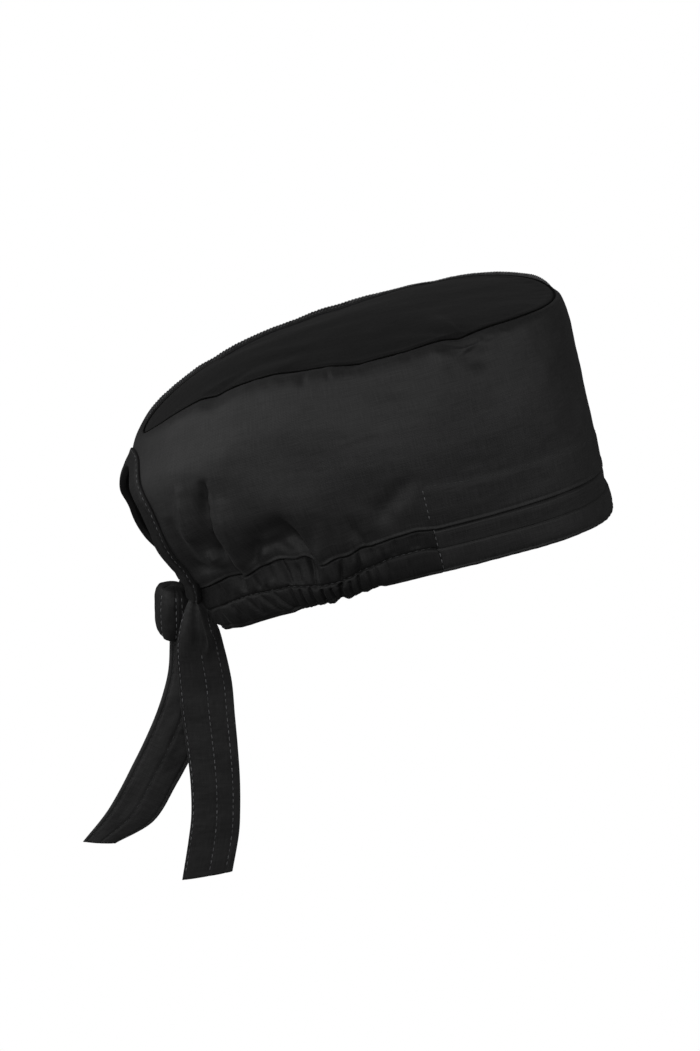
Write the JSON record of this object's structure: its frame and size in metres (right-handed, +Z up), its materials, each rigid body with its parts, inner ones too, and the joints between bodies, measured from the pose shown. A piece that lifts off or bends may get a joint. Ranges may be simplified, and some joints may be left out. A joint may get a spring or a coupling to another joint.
{
  "type": "scrub cap",
  "caption": "Black cloth scrub cap held as worn: oval top panel, wrap-round side panel, stitched front band, gathered rear casings, bound back opening, straps tied once with two hanging tails.",
  "frame": {"origin": "centre of the head opening, where the cap sits on a head", "axes": "+X to the wearer's front, +Y to the wearer's left, +Z up, with the cap turned back by its worn tilt of 14.5 degrees"},
  "size_m": [0.2431, 0.1608, 0.2692],
  "materials": {
    "black_cloth": "fine satin weave"
  },
  "bodies": {
    "root": {"crown_top": "black_cloth", "side_panel": "black_cloth", "opening_binding": "black_cloth", "front_band": "black_cloth", "casing_right": "black_cloth", "casing_left": "black_cloth", "tie_knot": "black_cloth", "tie_tail_right": "black_cloth", "tie_tail_left": "black_cloth"}
  },
  "joints": []
}
